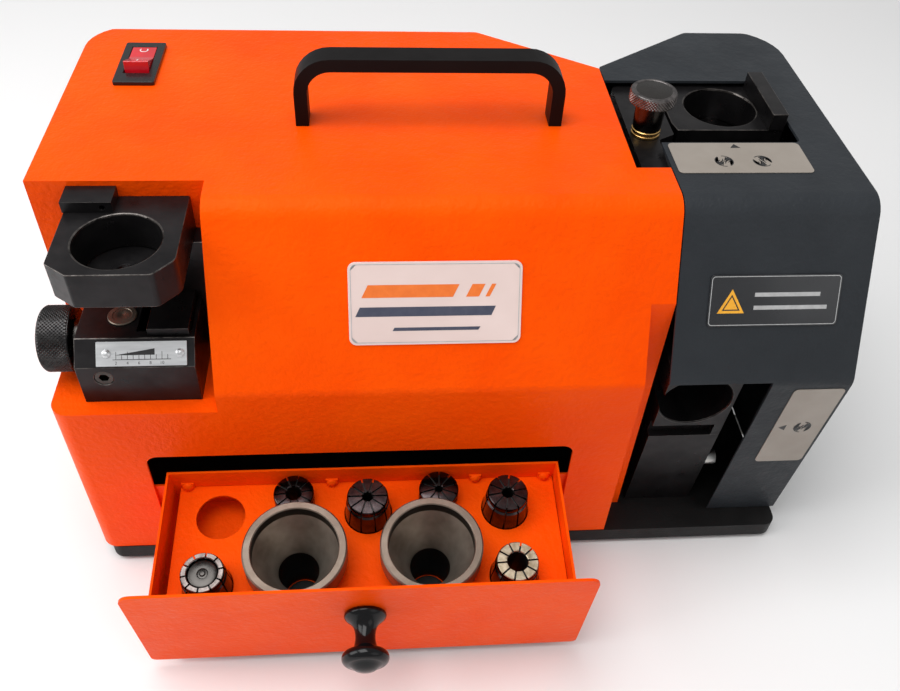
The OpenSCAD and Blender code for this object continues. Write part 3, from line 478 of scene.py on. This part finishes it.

# chucks: body, flange, flat rim, mouth, cone and bore; the mouth's wall and the bore are painted dark as
# shade
body_r, flange_r, mouth_r, bore_r = 18.65, 25.2, 21.1, 10.2
flange_h, mouth_deep, cone_end = 12.5, 5.6, 26.6
for node in ("chuck_left", "chuck_right"):
    t = length_of(node, DRAWN)
    turned_piece(node, DRAWN, [
        (bore_r, 0), (body_r - 1, 0), (body_r - 0.15, 0.9), (body_r, 1.2), (body_r, t - flange_h - 0.1),
        (body_r + 0.45, t - flange_h), (flange_r - 1, t - flange_h), (flange_r - 0.3, t - flange_h + 0.4),
        (flange_r, t - flange_h + 1.1), (flange_r, t - 0.7), (flange_r - 0.7, t), (mouth_r + 0.5, t),
        (mouth_r, t - 0.5), (mouth_r, t - mouth_deep), (mouth_r - 0.2, t - mouth_deep - 0.6),
        (bore_r + 0.3, t - cone_end), (bore_r, t - cone_end - 0.8)],
        ["chuck_steel", "chuck_mouth_shade", "chuck_cone", "bore_shade_black"], segs=128,
        bands=[(lambda r, z, t=t: r < mouth_r + 0.1 and z > t - mouth_deep - 0.5, 1),
               (lambda r, z, t=t: bore_r + 0.05 < r < mouth_r - 0.15 and z > t - cone_end - 1, 2),
               (lambda r, z: r < bore_r + 0.1, 3)])

# dark discs on the tray's floor, which the chucks stand over, just narrower than the bores: painted shade
# that makes the holes look black
for node, name in (("chuck_left", "painted_shade_disc_left"), ("chuck_right", "painted_shade_disc_right")):
    bm = bmesh.new()
    lathed(bm, [(0, 0.9), (2.2, 0.9), (2.8, 1.5), (8.6, 1.5), (9.5, 0.9), (9.7, 0.2), (9.7, 0), (0, 0)],
           64)
    x, y, z = foot_of(node, DRAWN)
    add(name, bm, body_of("drawer_tray"), ["foot_rubber"], frame_at(DRAWN, (x, y, z - 0.28)))

# drill stop under the setting port: a plate with a bored boss
port = next(m for m in frame["record"]["mounts"] if m["name"] == "setting_port")
bm = bmesh.new()
lathed(bm, [(3.2, 0.4), (3.5, 0), (20.1, 0), (20.4, 0.3), (20.4, 1.8), (20.3, 1.9), (6.4, 1.9),
            (6.1, 2.3), (6.1, 4.2), (5.7, 4.6), (3.6, 4.6), (3.2, 4.2)], 72)
below_port = (port["dims"]["length_mm"] / 2 + 2.3) * MM
under = Matrix.Translation(Vector(port["pos_m"]) - Vector((0, 0, below_port)))
add("setting_stop", bm, body_of("setting_head"), ["black_oxide_steel"], under)


def slotted(node, outline, bore, mats, slots=10, slot_w=0.9, slot_d=1.2, deep=24.0, turn=0.0):
    """Spring collet: a ring at its foot, a core, and segments round it parted by slots of constant
    width. The outline runs down from the nose at height 0; mats are for body, nose face and core, and the
    core's material is a near-black painted shade seen through the slots."""
    h = length_of(node, DRAWN)
    bm = bmesh.new()
    cut = h - deep
    outer = [(r, h + z) for r, z in outline]
    above = [p for p in outer if p[1] > cut]
    below = [p for p in outer if p[1] <= cut]
    a, b = above[-1], below[0]
    edge = a[0] + (b[0] - a[0]) * (a[1] - cut) / (a[1] - b[1])

    def inside(by):
        """The slotted wall's outline, set in by that much, from the foot of the slots to the bore."""
        wall = [(r - by, z) for r, z in reversed(above) if z < h - by]
        return [(edge - by, cut)] + wall + [(above[0][0] - by, h - by), (bore, h - by)]

    section = [(bore, h - 0.35), (bore + 0.35, h)] + above + [(edge, cut)] + inside(slot_d)
    # the core behind the slots takes mats[2], a near-black painted shade
    lathed(bm, inside(slot_d - 0.05) + [(bore, cut)], slots * 8, 2)
    lathed(bm, [(bore, cut), (edge, cut)] + below + [(bore, 0)], slots * 8, 0)
    steps = 6
    pitch = 2 * math.pi / slots
    for slot in range(slots):
        sheets = []
        for k in range(steps + 1):
            row = []
            for r, z in section:
                half = math.asin(min(0.9, slot_w / 2 / r))
                angle = pitch * slot + turn + half + (pitch - 2 * half) * k / steps
                row.append(bm.verts.new((r * MM * math.cos(angle), r * MM * math.sin(angle), z * MM)))
            sheets.append(row)
        for near, far in zip(sheets, sheets[1:]):
            for i in range(len(section)):
                j = (i + 1) % len(section)
                f = bm.faces.new([near[i], near[j], far[j], far[i]])
                f.material_index = int(min(section[i][1], section[j][1]) > h - 0.7)
        bm.faces.new(sheets[0])
        bm.faces.new(list(reversed(sheets[-1])))
    ob = add(node + "_detail", bm, body_of(node), mats, frame_at(DRAWN, foot_of(node, DRAWN)), 34)
    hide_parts(node)


LARGE = [(9.7, 0), (10.1, -0.3), (10.4, -1.0), (10.5, -2.6), (9.9, -3.2), (9.9, -4.6), (10.8, -5.4),
         (12.05, -17.4), (12.1, -20.5), (11.6, -22), (8.6, -34)]
SMALL = [(9.5, 0), (10.0, -0.3), (10.3, -0.9), (10.3, -2.4), (9.4, -3.0), (9.4, -4.2), (10.2, -4.9),
         (10.3, -9.3), (9.5, -9.4), (7.4, -26)]
for node, outline, bore, face_mat, deep, turn in (
        ("collet_front_left", LARGE, 7.5, "collet_face_grey", 24, 0.2),
        ("collet_back_1", SMALL, 4.0, "collet_steel", 18, 0.1),
        ("collet_back_2", LARGE, 2.7, "collet_steel", 24, 0.0),
        ("collet_back_3", SMALL, 2.0, "collet_steel", 18, 0.25),
        ("collet_back_4", LARGE, 3.0, "collet_steel", 24, 0.15),
        ("collet_front_right", LARGE, 5.1, "collet_face_bright", 24, 0.05)):
    slotted(node, outline, bore, ["collet_steel", face_mat, "bore_shade_black"], deep=deep, turn=turn)

# dark plug kept in the largest collet
bm = bmesh.new()
lathed(bm, [(0, -0.9), (1.0, -1.0), (1.5, -1.7), (2.2, -1.8), (2.7, -1.2), (6.2, -1.0), (6.8, -1.3),
            (7.0, -1.8), (7.0, -9), (0, -9)], 64)
x, y, z = foot_of("collet_front_left", DRAWN)
add("collet_plug", bm, body_of("collet_front_left"), ["polished_dark_steel"],
    frame_at(DRAWN, (x, y, z + length_of("collet_front_left", DRAWN))))


# ---- printed and engraved marks -------------------------------------------------

def face_of(node, toward):
    """Axes of a flat plate's outer face (x across, y up, z out of it) and its middle, in mm."""
    me = nodes[node].data
    toward = Vector(toward)
    area = {}
    for p in me.polygons:
        if p.normal.dot(toward) > 0.3:
            key = tuple(round(c, 2) for c in p.normal)
            area[key] = area.get(key, 0) + p.area
    axes = axes_from(max(area, key=area.get))
    lo, hi = measured(node, axes)
    return axes, ((lo[0] + hi[0]) / 2, (lo[1] + hi[1]) / 2, hi[2]), (hi[0] - lo[0], hi[1] - lo[1])


def raised(bm, shapes, low, high):
    """Flat shapes, lists of (x, y) in mm, as thin plates from height low to high."""
    for shape in shapes:
        lower = [bm.verts.new((x * MM, y * MM, low * MM)) for x, y in shape]
        upper = [bm.verts.new((x * MM, y * MM, high * MM)) for x, y in shape]
        bm.faces.new(upper)
        bm.faces.new(list(reversed(lower)))
        for i in range(len(shape)):
            j = (i + 1) % len(shape)
            bm.faces.new([lower[i], lower[j], upper[j], upper[i]])
    bmesh.ops.triangulate(bm, faces=[f for f in bm.faces if len(f.verts) > 4])


def printed(name, node, face, shapes, mat, lift=0.02, thick=0.03):
    """Print on a plate's face; the shapes are in mm from its middle."""
    axes, at, _ = face
    bm = bmesh.new()
    raised(bm, shapes, lift, lift + thick)
    add(name, bm, body_of(node), [mat], frame_at(axes, at))


def bar(x0, x1, y0, y1, lean=0.0):
    """Rectangle, or a bar whose top is moved sideways by lean."""
    return [(x0, y0), (x1, y0), (x1 + lean, y1), (x0 + lean, y1)]


def stroke(points, width):
    """Outline of a line of that width through the points."""
    left, right = [], []
    for i, p in enumerate(points):
        a, b = points[max(0, i - 1)], points[min(len(points) - 1, i + 1)]
        dx, dy = b[0] - a[0], b[1] - a[1]
        n = math.hypot(dx, dy)
        left.append((p[0] - dy / n * width / 2, p[1] + dx / n * width / 2))
        right.append((p[0] + dy / n * width / 2, p[1] - dx / n * width / 2))
    return left + right[::-1]


def arc(cx, cy, r, a0, a1, n=18):
    return [(cx + r * math.cos(math.radians(a0 + (a1 - a0) * i / n)),
             cy + r * math.sin(math.radians(a0 + (a1 - a0) * i / n))) for i in range(n + 1)]


def moved(points, x, y, turn=0.0):
    c, s = math.cos(math.radians(turn)), math.sin(math.radians(turn))
    return [(x + p[0] * c - p[1] * s, y + p[0] * s + p[1] * c) for p in points]


def drill_point(x, y, r, turn):
    """End view of a twist drill: two lands, two flutes, the web and the cutting lips."""
    half_view = [stroke(arc(0, 0, r, -78, 74), 0.45),
                 stroke(arc(r * 0.62, -r * 0.86, r * 0.85, 72, 150), 0.45),
                 stroke([(r * 0.16, r * 0.1), (r * 0.62, r * 0.62)], 0.55),
                 stroke([(r * 0.3, -r * 0.35), (r * 0.86, -r * 0.1)], 0.4),
                 [(r * 0.2, -r * 0.15), (r * 0.95, r * 0.12), (r * 0.78, r * 0.55), (r * 0.3, r * 0.3)]]
    shapes = [moved(part, x, y, turn + half) for half in (0, 180) for part in half_view]
    shapes.append(moved(stroke([(-r * 0.22, r * 0.12), (r * 0.22, -r * 0.12)], 0.6), x, y, turn))
    return shapes


def outline_band(w, h, r, width):
    """Four strokes with rounded corners just inside a w by h plate."""
    x, y = w / 2 - r, h / 2 - r
    corners = [(x, y, 0), (-x, y, 90), (-x, -y, 180), (x, -y, 270)]
    shapes = []
    for (cx, cy, a), (nx, ny, na) in zip(corners, corners[1:] + corners[:1]):
        reach = (nx + r * math.cos(math.radians(na)), ny + r * math.sin(math.radians(na)))
        shapes.append(stroke(arc(cx, cy, r, a, a + 90, 8) + [reach], width))
    return shapes


face = face_of("top_port_label", (0, 0, 1))
w, h = face[2]
printed("top_label_arrow", "top_port_label", face,
        [[(-2.6, h / 2 - 4.6), (2.6, h / 2 - 4.6), (0, h / 2 - 1.2)]], "ink_black")
printed("top_label_drill_points", "top_port_label", face,
        drill_point(-9, -3.2, 4.4, 20) + drill_point(10, -3.2, 4.4, 60), "ink_black")

face = face_of("front_port_label", (0, -1, 0.1))
printed("front_label_arrow", "front_port_label", face, [[(-10.6, 0), (-7.0, 2.4), (-7.0, -2.4)]],
        "ink_black")
printed("front_label_drill_point", "front_port_label", face, drill_point(2.2, 0, 4.4, 15), "ink_black")

# caution plate: border, triangle in a triangle and two bars
face = face_of("caution_plate", (0, -0.7, 0.7))
w, h = face[2]
tx = -w / 2 + 11
printed("caution_border", "caution_plate", face, outline_band(w - 1.6, h - 1.6, 1.6, 0.35), "ink_silver")
for name, half, low, high, ink, lift in (("caution_triangle", 6.6, -6, 5.8, "ink_amber", 0.02),
                                         ("caution_triangle_inner", 4.4, -4.7, 3.2, "ink_black", 0.05),
                                         ("caution_triangle_core", 3.4, -4.1, 2.0, "ink_amber", 0.08)):
    printed(name, "caution_plate", face, [[(tx - half, low), (tx + half, low), (tx, high)]], ink, lift)
printed("caution_bars", "caution_plate", face, [bar(-10, 22, 2.0, 4.0), bar(-10, 26, -4.4, -2.4)],
        "ink_silver")

# name plate: border and leaning stripes
face = face_of("name_plate", (0, -0.7, 0.7))
w, h = face[2]
printed("name_border", "name_plate", face, outline_band(w - 2.4, h - 2.4, 2.6, 0.3), "ink_silver")
printed("name_stripe_orange", "name_plate", face,
        [bar(-34, 8, 3, 9, 3), bar(14, 20, 3, 9, 3), bar(23, 25, 3, 9, 3)], "ink_orange")
printed("name_stripe_slate", "name_plate", face,
        [[(-37, -6), (26, -6), (28, -1.5), (-34.8, -1.5)], bar(-20, 20, -13, -11.4, 1)], "ink_slate")

# scale: a wedge over ten ticks on a base line, and even numbers under every second tick
first_tick, tick_pitch, tick_foot = -11.5, 2.6, -2.6
face = face_of("scale_plate", (0, -0.7, 0.7))
marks = [[(-12.2, -0.6), (6, 2.4), (6, -0.6)]]
for i in range(10):
    x = first_tick + i * tick_pitch
    marks.append(bar(x - 0.12, x + 0.12, tick_foot, tick_foot + (2.2 if i % 2 else 3.6)))
marks.append(bar(-13, 13.4, tick_foot - 0.2, tick_foot + 0.1))
printed("scale_marks", "scale_plate", face, marks, "ink_black", 0.01, 0.02)
axes, at, _ = face
for i in range(5):
    cu = bpy.data.curves.new(f"scale_digit_{i}", "FONT")
    cu.body = str(2 * i + 2)
    cu.size = 2.0 * MM
    cu.align_x = "CENTER"
    cu.extrude = 0.01 * MM
    cu.materials.append(MATS["ink_black"])
    ob = bpy.data.objects.new(f"scale_digit_{i}", cu)
    bpy.context.scene.collection.objects.link(ob)
    ob.matrix_world = frame_at(axes, (at[0] + first_tick + i * 2 * tick_pitch, at[1] - 4.9, at[2] + 0.02))
    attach(ob, body_of("scale_plate"))

# marks on the rocker: a ring on its pressed half, a bar on its raised half
lo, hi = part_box("switch_rocker")
mid = (lo.y + hi.y) / 2
for name, shape, back in (("rocker_ring", stroke(arc(0, 0, 2.0, 0, 359, 28), 0.5), True),
                          ("rocker_bar", bar(-0.35, 0.35, -2.1, 2.1), False)):
    half = [p for p in nodes["switch_rocker"].data.polygons
            if p.normal.z > 0.6 and (p.center.y > mid) == back
            and abs(p.center.y - mid) > 0.25 * (hi.y - lo.y)]
    centre = sum((p.center * p.area for p in half), Vector()) / sum(p.area for p in half)
    centre.x = (lo.x + hi.x) / 2
    bm = bmesh.new()
    raised(bm, [shape], -0.2, 0.06)
    m = Matrix(axes_from(sum((p.normal * p.area for p in half), Vector()))).transposed().to_4x4()
    m.translation = centre
    add(name, bm, body_of("switch_rocker"), ["ink_white"], m)

# every CAD node still shown takes its finish
for node, ob in nodes.items():
    if not ob.hide_render:
        for i in range(len(ob.data.materials)):
            ob.data.materials[i] = MATS[slot_of[node]]


# ---- floor, light and camera -----------------------------------------------------

low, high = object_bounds()
centre = (low + high) / 2
far = 6.0
me = bpy.data.meshes.new("floor")
me.from_pydata([(-far, -far, 0), (far, -far, 0), (far, far, 0), (-far, far, 0)], [], [(0, 1, 2, 3)])
floor = bpy.data.objects.new("floor", me)
bpy.context.scene.collection.objects.link(floor)
floor.location.z = -0.2 * MM
finish("floor_paint", (0.86, 0.86, 0.86), (0.88, 0.88, 0.88), (0.7, 0.8), cloud=2, grains=[(200, 0.02)])
me.materials.append(MATS["floor_paint"])
floor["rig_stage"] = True

world = bpy.data.worlds.new("studio")
bpy.context.scene.world = world
world.use_nodes = True
bg = world.node_tree.nodes["Background"]
bg.inputs["Color"].default_value = (1.0, 1.0, 1.0, 1)
bg.inputs["Strength"].default_value = 0.47


def lamp(name, offset, width, height, watts):
    """Rectangular lamp at that offset from the machine's middle, aimed at it."""
    data = bpy.data.lights.new(name, "AREA")
    data.shape = "RECTANGLE"
    data.size, data.size_y = width, height
    data.energy = watts
    ob = bpy.data.objects.new(name, data)
    bpy.context.scene.collection.objects.link(ob)
    ob.location = centre + Vector(offset)
    ob.rotation_mode = "QUATERNION"
    ob.rotation_quaternion = (-Vector(offset)).to_track_quat("-Z", "Y")


lamp("overhead", (-0.3, -0.1, 1.3), 1.1, 0.9, 13.5)
lamp("window", (-1.2, -0.2, 0.7), 0.8, 0.9, 8)
lamp("fill", (0.9, -0.9, 0.6), 0.8, 0.8, 1.2)

# camera: yaw from straight on to the front, pitch down, roll, place and lens
yaw, pitch, roll = (math.radians(a) for a in (6.331, 44.916, 3.434))
camera_at = (-0.040016, -0.349558, 0.454134)
ahead = Vector((math.sin(yaw) * math.cos(pitch), math.cos(yaw) * math.cos(pitch), -math.sin(pitch)))
across = ahead.cross(Vector((0, 0, 1))).normalized()
upward = across.cross(ahead)
right = across * math.cos(roll) + upward * math.sin(roll)
top = upward * math.cos(roll) - across * math.sin(roll)
cam = bpy.data.cameras.new("camera")
cam.sensor_width = 36
cam.lens = 35.94
cam.clip_start = 0.01
camera = bpy.data.objects.new("camera", cam)
bpy.context.scene.collection.objects.link(camera)
placing = Matrix((right, top, -ahead)).transposed().to_4x4()
placing.translation = camera_at
camera.matrix_world = placing
bpy.context.scene.camera = camera
bpy.context.scene.view_settings.view_transform = "Standard"

low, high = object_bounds()
